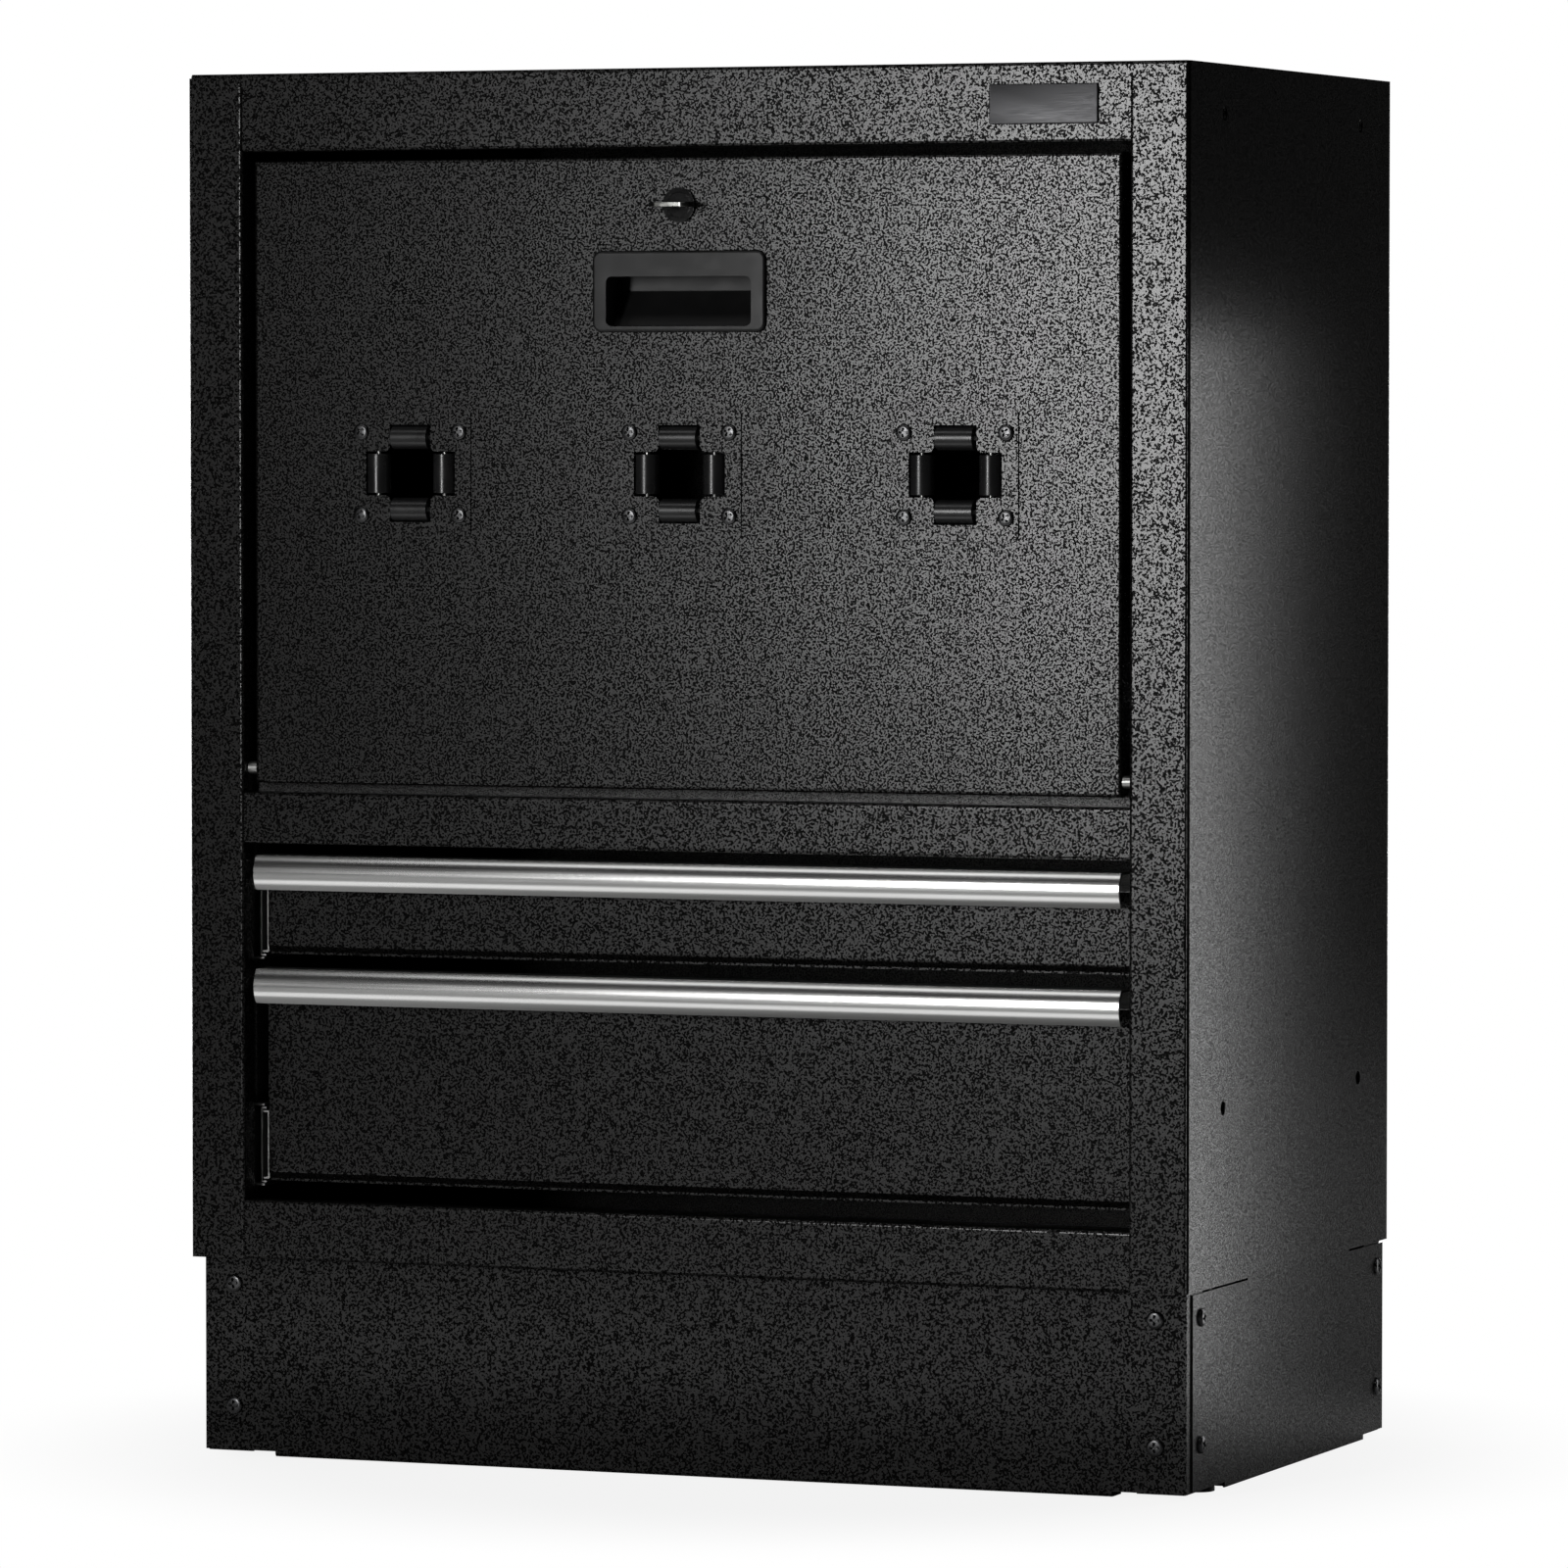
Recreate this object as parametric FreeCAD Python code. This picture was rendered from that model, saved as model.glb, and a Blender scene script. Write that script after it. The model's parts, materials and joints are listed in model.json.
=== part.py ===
import FreeCAD, Part
import math
import os

# Hose reel floor cabinet: a folded sheet steel case on a screwed plinth. A drop-down door with three roller
# hose guides closes the reel bay, and two drawers on telescopic slides sit below it.
# Millimetres. +X right, +Y to the back, +Z up. The origin is on the floor, under the middle of the whole box.

# Case
case_width = 680.0
case_depth = 406.0
height = 893.0
plinth_height = 130.0
sheet = 1.2
heavy_sheet = 1.5
bend = 1.0
stile_width = 37.6
stile_return = 15.0
stile_corner_radius = 10.0
stile_top_drop = 2.5
stile_hem = 8.0
corner_groove = 5.0
rear_flange = 15.0
tray_flange = 20.0
shelf_flange = 20.5
top_rail_height = 50.0
mid_rail_height = 33.0
bottom_rail_height = 38.0
rail_flange = 15.0
top_rail_flange = 18.0
rail_lip = 10.0
top_rail_lip = 12.0
top_seam = 31.4

# Holes in the side panels for bolting cabinets together
join_hole_radius = 4.5
join_front = 71.0
join_rear = 64.0
join_low = 111.0
join_high = 31.0
join_nut_across = 13.0
join_nut_height = 6.5
join_nut_radius = 3.4

# Reel bay
reel_slot_across = 100.0
reel_slot_along = 150.0
reel_slot_radius = 4.5
reel_slot_length = 20.0
port_height = 60.0
port_radius = 16.0
port_bore_radius = 12.0
port_lip = 4.0
port_inner_lip = 3.0

# Name plate, left blank
plate_width = 72.0
plate_height = 25.0
plate_thickness = 1.8
plate_inset = 20.8
plate_drop = 25.8
plate_corner = 1.5
plate_bevel = 0.5

# Plinth
kick_setback = 13.0
kick_inset = 3.5
kick_top_gap = 0.8
kick_corner_clearance = 4.2
kick_floor_clearance = 0.8
kick_flange = 18.0
rear_kick_inset = 3.0
front_relief = 49.4
side_relief_front = 61.3
side_relief_rear = 40.0
side_flange_front_room = 6.0
side_flange_rear_room = 45.0
side_kick_start = 24.7
notch_depth = 1.7
notch_front = 105.3
notch_rear = 70.0
post_leg = 32.0
post_floor_clearance = 3.5
kick_screw_inset = 24.0
kick_screw_front = 40.0
kick_screw_rear = 13.0
kick_screw_high = 112.5
kick_screw_low = 33.0

# Levelling feet
foot_clearance = 0.8
foot_front = 71.0
foot_rear = 64.0
foot_radius = 11.0
foot_height = 4.0
foot_neck_radius = 7.0
foot_neck = 4.0
foot_slope = 1.2
stud_radius = 5.0
stud_length = 60.0
socket_radius = 9.0
stud_room = 2.0

# Door
door_gap = 6.0
door_side_gap = 6.4
door_recess = 4.5
door_depth = 18.0
door_lip = 10.0
pivot_rise = 9.5
pivot_setback = 9.5
pivot_radius = 2.5
pivot_collar_radius = 4.0
pivot_tip = 1.5
bottom_flange = 6.0

# Roller hose guides
guide_pitch = 186.0
guide_drop = 200.0
guide_plate = 84.0
guide_plate_radius = 5.0
guide_arm = 28.0
guide_screw_across = 34.0
guide_screw_up = 26.5
roller_radius = 7.5
roller_length = guide_arm - 3.0
roller_offset = 23.0
roller_setback = 3.2
roller_room = 0.5
guide_opening = 2 * (roller_offset + roller_radius + roller_room)
roller_pin_radius = 1.6
ear_sheet = 1.5
ear_depth = 7.5
ear_length = 9.6
ear_corner = 2.5
ear_hole_sides = 8
window_corner_radius = 4.0
pin_reach = 1.3
window_room = 2.5

# Flush pull
flush_width = 118.0
flush_height = 51.5
flush_drop = 84.7
flush_thickness = 3.0
flush_corner = 6.0
flush_bevel = 2.0
flush_opening_low = 22.0
flush_opening_high = 9.5
flush_opening_width = 99.0
flush_opening_radius = 4.0
flush_floor = 14.0
flush_depth = 28.0
flush_room = 20.0
flush_knee = 0.5
flush_wall = 2.0
flush_pocket_radius = 2.0
flush_back_radius = 3.0

# Cam lock and key
lock_drop = 30.3
bezel_radius = 11.0
bezel_height = 2.5
lock_body_radius = bezel_radius - 1.5
plug_radius = lock_body_radius - 1.5
plug_recess = 0.6
lock_nut_across = 24.0
lock_nut_height = 4.0
cam_width = 14.0
cam_length = 48.0
cam_thickness = 2.5
cam_square = 7.0
cam_gap = 1.5
cam_tip_radius = 2.0
lock_end_gap = 1.0
plug_end_gap = 0.6
cam_screw_across = 10.0
cam_screw_height = 2.6
key_reach = 17.0
key_bow_width = 29.0
key_bow_thickness = 3.0
key_blade_width = 7.5
key_blade_thickness = 2.0
key_blade_length = 15.0
key_neck = 9.2
key_neck_reach = 4.5
key_shoulder = 2.5
key_shoulder_slope = 4.0
key_bow_radius = 6.5
key_tip_radius = 2.0
key_ring_radius = 2.5
key_ring_inset = 5.5

# Drawers
drawer_recess = 22.0
drawer_top_gap = 7.5
drawer_mid_gap = 8.3
drawer_low_gap = 11.0
upper_drawer_height = 65.0
lower_drawer_height = 138.7
front_chamfer = 4.0
front_lip = 1.5
front_depth = 5.2
front_top_room = 2.0
box_side_gap = 7.0
box_rise = 4.0
box_headroom = 6.0
hem_height = 8.0
hem_end_room = 4.0
hem_gap = 0.2
pull_height = 22.7
pull_side_gap = 6.4
pull_wall = 1.8
pull_leg = 13.0
pull_edge_setback = 5.0
pull_tip_lean = 0.8
pull_tip_trim = 0.6

# Telescopic slides
slide_step = 50.0
slide_front = 22.0
slide_rear_room = 12.0
slide_half_height = 26.5
slide_thickness = 12.7
cabinet_member_lip = 9.6
middle_member_half = 24.5
middle_member_lip = 3.9
drawer_member_half = 22.2
drawer_member_lip = 4.5
middle_start = 0.5
middle_rear_room = 1.0
member_rear_room = 2.0
middle_member_sheet = 1.1
slide_rise = 23.2
slide_post_width = 20.0
slide_post_flange = 8.0
slide_post_front = 33.0
slide_post_overlap = 32.0

# Screws
screw_radius = 2.2
kick_screw_head_radius = 5.5
guide_screw_head_radius = 5.3
screw_head_height = 2.4
screw_length = 9.0
shank_sides = 6
head_sides = 10

# Clearances
running_fit = 0.05
press_fit = 0.02
free_fit = 0.3
screw_fit = 0.2

# How far a cutting piece reaches past the face it opens
over = 1.0

# Places worked out from the sizes above
front = -(case_depth - key_reach) / 2
back = front + case_depth
half_width = case_width / 2
side_inner = half_width - sheet
stile_inner = half_width - stile_width
rail_face = front + sheet
back_half = side_inner - bend - free_fit
back_face = back - 2 * sheet

top_rail_low = height - top_rail_height
door_high = top_rail_low - door_gap
bottom_rail_high = plinth_height + bottom_rail_height
lower_front_low = bottom_rail_high + drawer_low_gap
lower_pull_top = lower_front_low + lower_drawer_height
upper_front_low = lower_pull_top + drawer_mid_gap
upper_pull_top = upper_front_low + upper_drawer_height
mid_rail_low = upper_pull_top + drawer_top_gap
mid_rail_high = mid_rail_low + mid_rail_height
door_low = mid_rail_high + door_gap

door_face = front + door_recess
door_back = door_face + door_depth
door_half = stile_inner - door_side_gap
pivot_y = front + pivot_setback
pivot_z = door_low + pivot_rise
door_heel = math.hypot(bottom_flange - pivot_setback + door_recess, pivot_rise)
shelf_front = pivot_y + door_heel + free_fit

guide_z = door_high - guide_drop
guide_face = door_face - sheet
roller_y = guide_face + roller_setback
flush_z = door_high - flush_drop
lock_z = door_high - lock_drop
rail_lip_back = rail_face + top_rail_flange
cam_front = door_back + cam_gap
lock_body_back = cam_front - lock_end_gap

box_half = stile_inner - box_side_gap
drawer_face = front + drawer_recess
box_front = drawer_face + front_depth
slide_start = front + slide_front
slide_room = case_depth - slide_front - slide_rear_room
slide_length = slide_step * math.floor(slide_room / slide_step)
slide_end = slide_start + slide_length
slide_outer = box_half + slide_thickness
kick_side_x = half_width - kick_inset
foot_x = kick_side_x - sheet - foot_clearance - foot_radius


def vector(x, y, z):
    return FreeCAD.Vector(x, y, z)


def block(x0, x1, y0, y1, z0, z1):
    return Part.makeBox(x1 - x0, y1 - y0, z1 - z0, vector(x0, y0, z0))


def rod(radius, start, end):
    """A solid cylinder from one point to another."""
    return Part.makeCylinder(radius, (end - start).Length, start, end - start)


def flat_rod(radius, sides, start, end):
    """A rod from one point to another with flat sides, each at the radius from its middle line."""
    corner = radius / math.cos(math.pi / sides)
    turns = [2 * math.pi * step / sides for step in range(sides)]
    points = [vector(corner * math.cos(turn), corner * math.sin(turn), 0) for turn in turns]
    solid = Part.Face(Part.makePolygon(points + points[:1])).extrude(vector(0, 0, (end - start).Length))
    solid.Placement = FreeCAD.Placement(start, FreeCAD.Rotation(vector(0, 0, 1), end - start))
    return solid


def mirrored(shape):
    """The same piece on the other side of the cabinet's middle plane."""
    return shape.mirror(vector(0, 0, 0), vector(1, 0, 0))


def pair(shape):
    """A piece and its mirror image, as separate solids."""
    return Part.makeCompound([shape, mirrored(shape)])


def unit(dx, dy):
    length = math.hypot(dx, dy)
    return dx / length, dy / length


def placed(point, axis, level):
    """A point of a flat outline, set in space on the plane square to an axis."""
    a, b = point
    places = {"x": (level, a, b), "y": (a, level, b), "z": (a, b, level)}
    return vector(*places[axis])


def prism(points, radii, axis, start, end):
    """A closed outline with rounded corners, extruded along an axis."""
    count = len(points)
    corners = []
    for i, point in enumerate(points):
        radius = radii[i]
        before = unit(points[i - 1][0] - point[0], points[i - 1][1] - point[1])
        after = unit(points[(i + 1) % count][0] - point[0], points[(i + 1) % count][1] - point[1])
        if radius <= 0:
            corners.append((point, None, point))
            continue
        half_angle = math.acos(max(-1.0, min(1.0, before[0] * after[0] + before[1] * after[1]))) / 2
        run = radius / math.tan(half_angle)
        toward = unit(before[0] + after[0], before[1] + after[1])
        reach = radius / math.sin(half_angle) - radius
        first = (point[0] + before[0] * run, point[1] + before[1] * run)
        middle = (point[0] + toward[0] * reach, point[1] + toward[1] * reach)
        last = (point[0] + after[0] * run, point[1] + after[1] * run)
        corners.append((first, middle, last))
    edges = []
    for i, (first, middle, last) in enumerate(corners):
        following = corners[(i + 1) % count][0]
        if middle is not None:
            arc = Part.Arc(placed(first, axis, start), placed(middle, axis, start), placed(last, axis, start))
            edges.append(arc.toShape())
        if math.hypot(following[0] - last[0], following[1] - last[1]) > 1e-6:
            side = Part.LineSegment(placed(last, axis, start), placed(following, axis, start))
            edges.append(side.toShape())
    face = Part.Face(Part.Wire(edges))
    travel = {"x": vector(end - start, 0, 0), "y": vector(0, end - start, 0), "z": vector(0, 0, end - start)}
    return face.extrude(travel[axis])


def folded(path, thickness, side, axis, start, end, inner_bend=bend):
    """A folded sheet: the path is one skin, and side 1 or -1 puts the thickness on its left or right."""
    normals = []
    for a, b in zip(path, path[1:]):
        dx, dy = unit(b[0] - a[0], b[1] - a[1])
        normals.append((-dy * side, dx * side))
    first, last = normals[0], normals[-1]
    inner = [(path[0][0] + first[0] * thickness, path[0][1] + first[1] * thickness)]
    path_radii = [0.0]
    inner_radii = [0.0]
    for i in range(1, len(path) - 1):
        n0, n1 = normals[i - 1], normals[i]
        share = thickness / (1 + n0[0] * n1[0] + n0[1] * n1[1])
        inner.append((path[i][0] + (n0[0] + n1[0]) * share, path[i][1] + (n0[1] + n1[1]) * share))
        turn = (n0[0] * n1[1] - n0[1] * n1[0]) * side
        path_radii.append(inner_bend + thickness if turn > 0 else inner_bend)
        inner_radii.append(inner_bend if turn > 0 else inner_bend + thickness)
    inner.append((path[-1][0] + last[0] * thickness, path[-1][1] + last[1] * thickness))
    path_radii.append(0.0)
    inner_radii.append(0.0)
    return prism(path + inner[::-1], path_radii + inner_radii[::-1], axis, start, end)


def rounded_plate(x, z, width, tall, radius, y0, y1):
    """A plate facing the front, with rounded corners."""
    left, right = x - width / 2, x + width / 2
    low, high = z - tall / 2, z + tall / 2
    corners = [(left, low), (right, low), (right, high), (left, high)]
    return prism(corners, [radius] * 4, "y", y0, y1)


def turned(profile, centre, direction):
    """A turned piece: (radius, distance) points revolved about a line from centre along direction."""
    points = [vector(r, 0, d) for r, d in profile]
    solid = Part.Face(Part.makePolygon(points + points[:1])).revolve(vector(0, 0, 0), vector(0, 0, 1), 360)
    turn = FreeCAD.Rotation(vector(0, 0, 1), direction)
    solid.Placement = FreeCAD.Placement(centre, turn)
    return solid


def hexagon(across, tall, centre, direction, bore):
    """A hexagon nut with a plain bore."""
    end = centre + direction * tall
    return flat_rod(across / 2, 6, centre, end).cut(rod(bore, centre - direction, end + direction))


def screw(seat, outward, head_radius):
    """A flat-headed screw of few faces: its head stands on the seat and its shank runs the other way."""
    head = flat_rod(head_radius, head_sides, seat, seat + outward * screw_head_height)
    return head.fuse(flat_rod(screw_radius, shank_sides, seat - outward * screw_length, seat))


def screw_hole(seat, outward):
    """What a screw's hole takes from the sheets behind its seat."""
    deep = screw_length - over
    return flat_rod(screw_radius + screw_fit, shank_sides, seat + outward * over, seat - outward * deep)


def edges_at(shape, test):
    """The edges whose middle point passes a test."""
    return [edge for edge in shape.Edges if test(edge.BoundBox.Center, edge)]


def along(edge, axis):
    box = edge.BoundBox
    spans = {"x": box.XLength, "y": box.YLength, "z": box.ZLength}
    return spans[axis] > 0.99 * edge.Length


# Case


def rail_bands():
    """The heights where a rail runs past the front corners, with a little room."""
    bands = [(plinth_height, bottom_rail_high), (mid_rail_low, mid_rail_high), (top_rail_low, height)]
    return [(low - free_fit, high + free_fit) for low, high in bands]


def without_rail_room(shape, start):
    """Cut a front corner piece away behind a depth, where the rails run past it."""
    for low, high in rail_bands():
        shape = shape.cut(block(stile_inner - 1, side_inner, start, front + stile_return + 1, low, high))
    return shape


def with_pivot_hole(shape):
    ends = [vector(stile_inner - 1, pivot_y, pivot_z), vector(stile_inner + 3 * sheet, pivot_y, pivot_z)]
    return shape.cut(rod(pivot_radius + running_fit, *ends))


def side_panel():
    """The right side. Its front edge folds in behind the stile and turns back along the stile's return."""
    fold_x = stile_inner + sheet
    fold_y = front + corner_groove
    path = [(half_width - rear_flange, back), (half_width, back), (half_width, fold_y), (fold_x, fold_y),
            (fold_x, front + stile_return)]
    panel = folded(path, sheet, -1, "z", plinth_height, height)
    panel = without_rail_room(panel, front)
    for y, z in join_places():
        panel = panel.cut(rod(join_hole_radius, vector(side_inner - 1, y, z), vector(half_width + 1, y, z)))
    return with_pivot_hole(panel)


def stile():
    """The right front upright: a face with a hemmed outer edge and a return beside the door and drawers."""
    path = [(stile_inner, front + stile_return), (stile_inner, front), (half_width, front)]
    top = height - stile_top_drop
    upright = folded(path, sheet, 1, "z", plinth_height, top)
    hem = block(half_width - stile_hem, half_width, rail_face, rail_face + sheet, plinth_height, top)
    upright = upright.fuse(hem).removeSplitter()
    fold = edges_at(upright, lambda c, e: along(e, "z") and abs(c.x - half_width) < 1e-3)
    upright = upright.makeFillet(sheet * 0.9, fold)
    upright = without_rail_room(upright, rail_face)
    centre_x = stile_inner + stile_corner_radius
    centre_z = top - stile_corner_radius
    corner = block(stile_inner - 1, centre_x, front - 1, rail_face + 1, centre_z, top + 1)
    corner = corner.cut(rod(stile_corner_radius, vector(centre_x, front - 2, centre_z),
                            vector(centre_x, rail_face + 2, centre_z)))
    return with_pivot_hole(upright.cut(corner))


def join_places():
    """Where the side panels bolt to a neighbour: (y, z) of four holes."""
    return [(y, z) for y in (front + join_front, back - join_rear)
            for z in (plinth_height + join_low, height - join_high)]


def join_nuts():
    """Weld nuts behind the upper pair of holes of the right side."""
    inward = vector(-1, 0, 0)
    return [hexagon(join_nut_across, join_nut_height, vector(side_inner, y, z), inward, join_nut_radius)
            for y, z in join_places() if z > mid_rail_high]


def top_rail():
    seam = rail_face + top_seam
    path = [(rail_lip_back, top_rail_low + top_rail_lip), (rail_lip_back, top_rail_low),
            (rail_face, top_rail_low), (rail_face, height), (seam, height), (seam, height - top_rail_lip)]
    return folded(path, sheet, -1, "x", -side_inner, side_inner)


def mid_rail():
    lip_back = rail_face + rail_flange
    path = [(shelf_front, mid_rail_high), (rail_face, mid_rail_high), (rail_face, mid_rail_low),
            (lip_back, mid_rail_low), (lip_back, mid_rail_low + rail_lip)]
    return folded(path, sheet, 1, "x", -side_inner, side_inner)


def bottom_rail():
    lip_back = rail_face + rail_flange
    path = [(lip_back, bottom_rail_high - rail_lip), (lip_back, bottom_rail_high),
            (rail_face, bottom_rail_high), (rail_face, plinth_height), (floor_front(), plinth_height)]
    return folded(path, sheet, 1, "x", -side_inner, side_inner)


def floor_front():
    return rail_lip_back - sheet


def tray(y0, z_plate, z_rim):
    """A pressed panel between the side panels, its four flanges turned to the rim level."""
    low, high = min(z_plate, z_rim), max(z_plate, z_rim)
    body = block(-side_inner, side_inner, y0, back_face, low, high)
    plate_below = z_plate < z_rim
    inner_low = low + sheet if plate_below else low - 1
    inner_high = high + 1 if plate_below else high - sheet
    hollow_half = side_inner - sheet
    hollow = block(-hollow_half, hollow_half, y0 + sheet, back_face - sheet, inner_low, inner_high)
    body = body.cut(hollow)
    rim_edges = edges_at(body, lambda c, e: abs(c.z - z_plate) < 1e-3)
    return body.makeFillet(sheet * 0.9, rim_edges)


def top_panel():
    return tray(rail_face + top_seam, height, height - tray_flange)


def cabinet_floor():
    return tray(floor_front(), plinth_height, plinth_height + tray_flange)


def reel_shelf():
    """The reel bay's floor, with slotted holes for three reels. Its front flange stops the open door."""
    shelf = tray(shelf_front, mid_rail_high - sheet, mid_rail_high - sheet + shelf_flange)
    for x in guide_places():
        for dx in (-reel_slot_across / 2, reel_slot_across / 2):
            for dy in (-reel_slot_along / 2, reel_slot_along / 2):
                shelf = shelf.cut(slot(x + dx, reel_seat_y() + dy))
    return shelf


def reel_seat_y():
    return (shelf_front + back_face) / 2


def slot(x, y):
    """A slotted hole through the shelf, running left to right."""
    reach = reel_slot_length / 2
    corners = [(x - reach, y - reel_slot_radius), (x + reach, y - reel_slot_radius),
               (x + reach, y + reel_slot_radius), (x - reach, y + reel_slot_radius)]
    return prism(corners, [reel_slot_radius * 0.9999] * 4, "z", mid_rail_high - sheet - 1, mid_rail_high + 1)


def guide_places():
    return [-guide_pitch, 0.0, guide_pitch]


def back_panel():
    """The back, with a hole for the supply hose of each reel."""
    panel = block(-back_half, back_half, back_face, back_face + sheet, plinth_height, height)
    for x in guide_places():
        panel = panel.cut(rod(port_radius, vector(x, back_face - 1, port_z()), vector(x, back, port_z())))
    return panel


def port_z():
    return mid_rail_high + port_height


def port_grommet(x):
    """A rubber grommet round a supply hose hole."""
    rear = back - back_face
    wide = port_radius + port_lip
    profile = [(port_bore_radius, -port_inner_lip), (wide, -port_inner_lip), (wide, 0), (port_radius, 0),
               (port_radius, sheet), (wide, sheet), (wide, rear), (port_bore_radius, rear)]
    return turned(profile, vector(x, back_face, port_z()), vector(0, 1, 0))


def name_plate():
    """A blank plate on the top rail."""
    x = stile_inner - plate_inset - plate_width / 2
    z = height - plate_drop
    plate_face = rail_face - plate_thickness
    plate = rounded_plate(x, z, plate_width, plate_height, plate_corner, plate_face, rail_face)
    rim = edges_at(plate, lambda c, e: abs(c.y - plate_face) < 1e-3)
    return plate.makeChamfer(plate_bevel, rim)


# Plinth


def kick_screw_seats():
    """Each plinth screw: the point under its head and the way it faces."""
    seats = []
    for sign in (-1, 1):
        for z in (kick_screw_low, kick_screw_high):
            x = sign * (half_width - kick_screw_inset)
            seats.append((vector(x, front + kick_setback, z), vector(0, -1, 0)))
            seats.append((vector(x, back - rear_kick_inset, z), vector(0, 1, 0)))
            for y in (front + kick_screw_front, back - kick_screw_rear):
                seats.append((vector(sign * kick_side_x, y, z), vector(sign, 0, 0)))
    return seats


def with_screw_holes(shape):
    for seat, outward in kick_screw_seats():
        shape = shape.cut(screw_hole(seat, outward))
    return shape


def kick_across(half, skin, inward):
    """A front or rear plinth panel, stepped up at its ends. Its lower edge is flanged between the steps."""
    low_half = half - front_relief
    y0, y1 = sorted((skin, skin + inward * sheet))
    face = block(-half, half, y0, y1, kick_corner_clearance, plinth_height - kick_top_gap)
    path = [(skin, kick_corner_clearance + 1), (skin, kick_floor_clearance),
            (skin + inward * kick_flange, kick_floor_clearance)]
    lower = folded(path, sheet, inward, "x", -low_half, low_half)
    return with_screw_holes(face.fuse(lower).removeSplitter())


def kick_front():
    return kick_across(kick_side_x, front + kick_setback, 1)


def kick_rear():
    return kick_across(kick_side_x - sheet - free_fit, back - rear_kick_inset, -1)


def kick_side():
    """The right plinth side, notched at both ends of its top edge and stepped up at both ends below."""
    y0, y1 = front + side_kick_start, back
    x0, x1 = kick_side_x - sheet, kick_side_x
    low_start, low_end = y0 + side_relief_front, y1 - side_relief_rear
    top = plinth_height - kick_top_gap
    panel = block(x0, x1, y0, y1, kick_corner_clearance, top)
    panel = panel.fuse(block(x0, x1, low_start, low_end, kick_floor_clearance, kick_corner_clearance))
    panel = panel.fuse(block(kick_side_x - kick_flange, x1, low_start + side_flange_front_room,
                             low_end - side_flange_rear_room, kick_floor_clearance,
                             kick_floor_clearance + sheet)).removeSplitter()
    for start, end in ((y0, y0 + notch_front), (y1 - notch_rear, y1)):
        panel = panel.cut(block(x0 - 1, x1 + 1, start - 1, end, top - notch_depth, top + 1))
    return with_screw_holes(panel)


def plinth_post(at_front):
    """A corner angle of the right side, under the case floor. The kick panels screw to it."""
    x = kick_side_x - sheet
    y = front + kick_setback + sheet if at_front else back - rear_kick_inset - sheet
    inward = 1 if at_front else -1
    path = [(x - post_leg, y), (x, y), (x, y + inward * post_leg)]
    post = folded(path, heavy_sheet, inward, "z", post_floor_clearance, plinth_height, 0.0)
    return with_screw_holes(post)


def leg_places():
    """The levelling feet: name ending and (x, y)."""
    x = foot_x
    near, far = front + foot_front, back - foot_rear
    return [("front_left", -x, near), ("front_right", x, near),
            ("rear_left", -x, far), ("rear_right", x, far)]


def leg_socket(x, y):
    """A leg under the case floor, bored for the foot's stud."""
    low = foot_height + foot_neck + free_fit
    leg = rod(socket_radius, vector(x, y, low), vector(x, y, plinth_height))
    bore_end = vector(x, y, low + stud_length + stud_room)
    return leg.cut(rod(stud_radius + running_fit, vector(x, y, low - over), bore_end))


def levelling_foot(x, y):
    """A round pad whose top slopes to a neck, and a stud."""
    neck_top = foot_height + foot_neck
    stud_top = neck_top + stud_length
    profile = [(0, 0), (foot_radius, 0), (foot_radius, foot_height - foot_slope),
               (foot_neck_radius, foot_height), (foot_neck_radius, neck_top), (stud_radius, neck_top),
               (stud_radius, stud_top), (0, stud_top)]
    return turned(profile, vector(x, y, 0), vector(0, 0, 1))


# Door


def door_panel():
    """A folded pan. It has a cross-shaped window behind each hose guide."""
    pan = block(-door_half, door_half, door_face, door_back, door_low, door_high)
    pan = pan.makeFillet(sheet + bend, edges_at(pan, lambda c, e: abs(c.y - door_face) < 1e-3))
    pan = pan.cut(block(-door_half + sheet, door_half - sheet, door_face + sheet, door_back - sheet,
                        door_low + sheet, door_high - sheet))
    pan = pan.cut(block(-door_half + door_lip, door_half - door_lip, door_back - 2 * sheet, door_back + over,
                        door_low - over, door_high - door_lip))
    pan = pan.cut(heel_relief())
    pan = pan.cut(block(-door_half + sheet, door_half - sheet, door_face + bottom_flange, door_back + over,
                        door_low - over, door_low + 3 * sheet))
    outward = vector(0, -1, 0)
    for x in guide_places():
        pan = pan.cut(cross(x, guide_arm / 2 + ear_sheet + window_room, guide_opening / 2 + over, 0.0,
                            (door_face - over, door_face + 2 * sheet)))
        for sx, sz in guide_screw_places(x):
            pan = pan.cut(screw_hole(vector(sx, guide_face, sz), outward))
    low, high = flush_body_span()
    pan = pan.cut(rounded_plate(0, flush_z + (low + high) / 2, flush_body_width() + free_fit * 2,
                                high - low + free_fit * 2, 0.0, door_face - over, door_face + 2 * sheet))
    pan = pan.cut(rod(lock_body_radius + screw_fit, vector(0, door_face - over, lock_z),
                      vector(0, door_face + 2 * sheet, lock_z)))
    for sign in (-1, 1):
        outer = vector(sign * (door_half + over), pivot_y, pivot_z)
        inside = vector(sign * (door_half - sheet - over), pivot_y, pivot_z)
        pan = pan.cut(rod(pivot_radius + press_fit, inside, outer))
    return pan


def heel_relief():
    """What is cut from the door's lower rear corners, so that they turn in front of the shelf's flange."""
    top = mid_rail_high - sheet + shelf_flange + heavy_sheet
    reach = door_half + over
    relief = block(-reach, reach, pivot_y, door_back + over, door_low - over, top)
    ends = [vector(-reach - over, pivot_y, pivot_z), vector(reach + over, pivot_y, pivot_z)]
    return relief.cut(rod(door_heel, *ends))


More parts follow.
